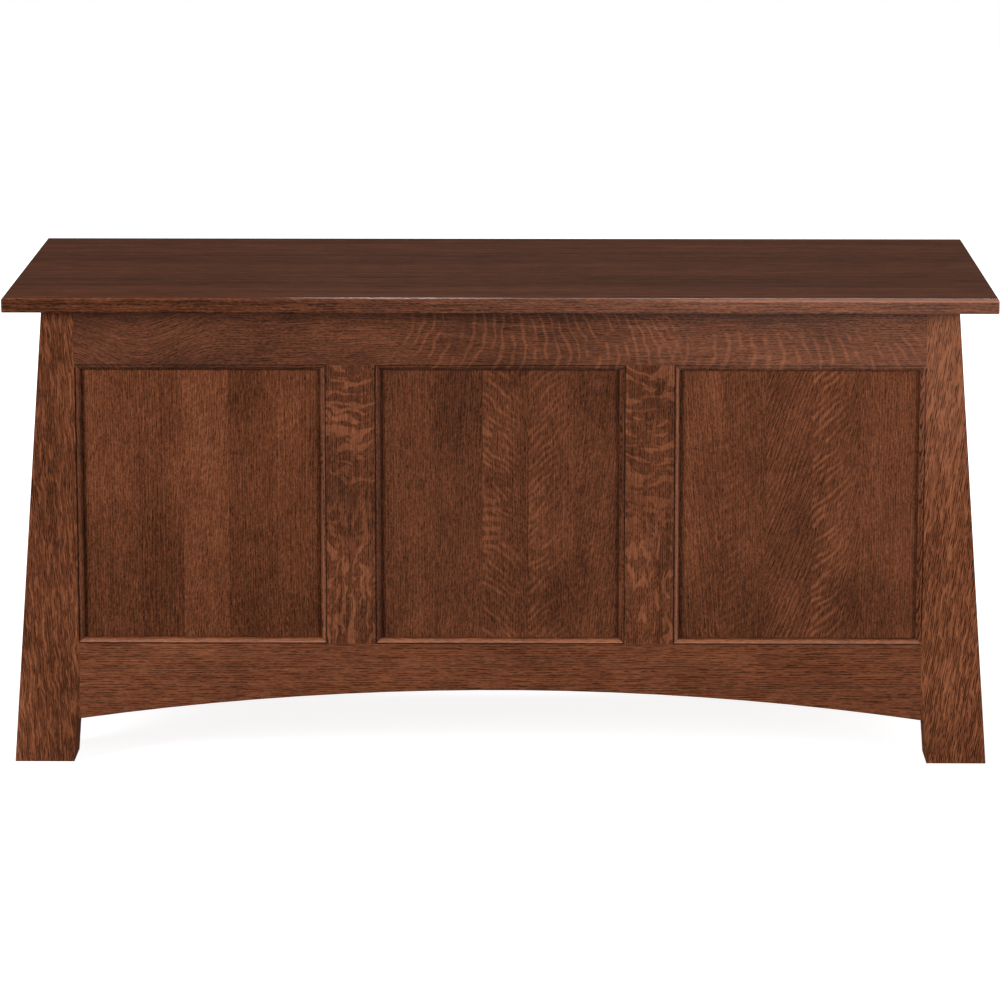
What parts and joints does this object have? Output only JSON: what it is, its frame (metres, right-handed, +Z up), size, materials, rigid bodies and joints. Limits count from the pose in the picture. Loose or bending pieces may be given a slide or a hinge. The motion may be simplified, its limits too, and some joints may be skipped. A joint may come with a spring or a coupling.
{
  "type": "bench chest",
  "caption": "Frame-and-panel bench chest on flared legs, with an arched lower rail, recessed flat panels and an overhanging hinged lid on slotted stays.",
  "frame": {"origin": "on the floor under the middle of the chest", "axes": "+X to the right along the width, +Y to the back, +Z up"},
  "size_m": [1.118, 0.5034, 0.541],
  "materials": {
    "oak_frame": "satin",
    "oak_panel": "satin",
    "oak_lid": "satin",
    "oak_plain": "matte",
    "cedar": "matte",
    "hinge_brass": "satin",
    "stay_brass": "satin",
    "bumper": "matte"
  },
  "bodies": {
    "case": {"back_bottom_rail": "oak_frame", "back_center_panel": "oak_panel", "back_cleat": "oak_plain", "back_left_leg": "oak_frame", "back_left_mullion": "oak_frame", "back_left_panel": "oak_panel", "back_right_leg": "oak_frame", "back_right_mullion": "oak_frame", "back_right_panel": "oak_panel", "back_top_rail": "oak_frame", "floor_boards": "cedar", "front_bottom_rail": "oak_frame", "front_center_panel": "oak_panel", "front_cleat": "oak_plain", "front_left_leg": "oak_frame", "front_left_mullion": "oak_frame", "front_left_panel": "oak_panel", "front_right_leg": "oak_frame", "front_right_mullion": "oak_frame", "front_right_panel": "oak_panel", "front_top_rail": "oak_frame", "hinge_case_screws": "hinge_brass", "hinge_pins": "hinge_brass", "left_bottom_rail": "oak_frame", "left_cleat": "oak_plain", "left_hinge_case_leaf": "hinge_brass", "left_panel": "oak_panel", "left_stay_keeper": "hinge_brass", "left_stay_wall_plate": "stay_brass", "left_top_rail": "oak_frame", "lid_bumpers": "bumper", "middle_hinge_case_leaf": "hinge_brass", "right_bottom_rail": "oak_frame", "right_cleat": "oak_plain", "right_hinge_case_leaf": "hinge_brass", "right_panel": "oak_panel", "right_stay_keeper": "hinge_brass", "right_stay_wall_plate": "stay_brass", "right_top_rail": "oak_frame", "stay_wall_screws": "hinge_brass"},
    "lid": {"batten_screws": "hinge_brass", "hinge_lid_screws": "hinge_brass", "left_batten": "oak_plain", "left_hinge_lid_leaf": "hinge_brass", "left_stay_bracket": "stay_brass", "left_stay_rivet": "hinge_brass", "lid_panel": "oak_lid", "middle_hinge_lid_leaf": "hinge_brass", "right_batten": "oak_plain", "right_hinge_lid_leaf": "hinge_brass", "right_stay_bracket": "stay_brass", "right_stay_rivet": "hinge_brass", "stay_lid_screws": "hinge_brass"},
    "left_stay": {"left_stay_arm": "stay_brass"},
    "right_stay": {"right_stay_arm": "stay_brass"}
  },
  "joints": [
    {"name": "lid_hinge", "type": "hinge", "parent": "case", "child": "lid", "pos_m": [0, 0.2477, 0.52325], "axis": [-1, 0, 0], "range_deg": [0, 100]},
    {"name": "left_stay_swing", "type": "hinge", "parent": "lid", "child": "left_stay", "pos_m": [-0.48994, 0.10847, 0.50862], "axis": [-1, 0, 0], "range_deg": [-50, 0]},
    {"name": "right_stay_swing", "type": "hinge", "parent": "lid", "child": "right_stay", "pos_m": [0.48994, 0.10847, 0.50862], "axis": [-1, 0, 0], "range_deg": [-50, 0]}
  ],
  "couplings": [
    {"joint": "left_stay_swing", "follows": "lid_hinge", "ratio": -0.5},
    {"joint": "right_stay_swing", "follows": "lid_hinge", "ratio": -0.5}
  ]
}
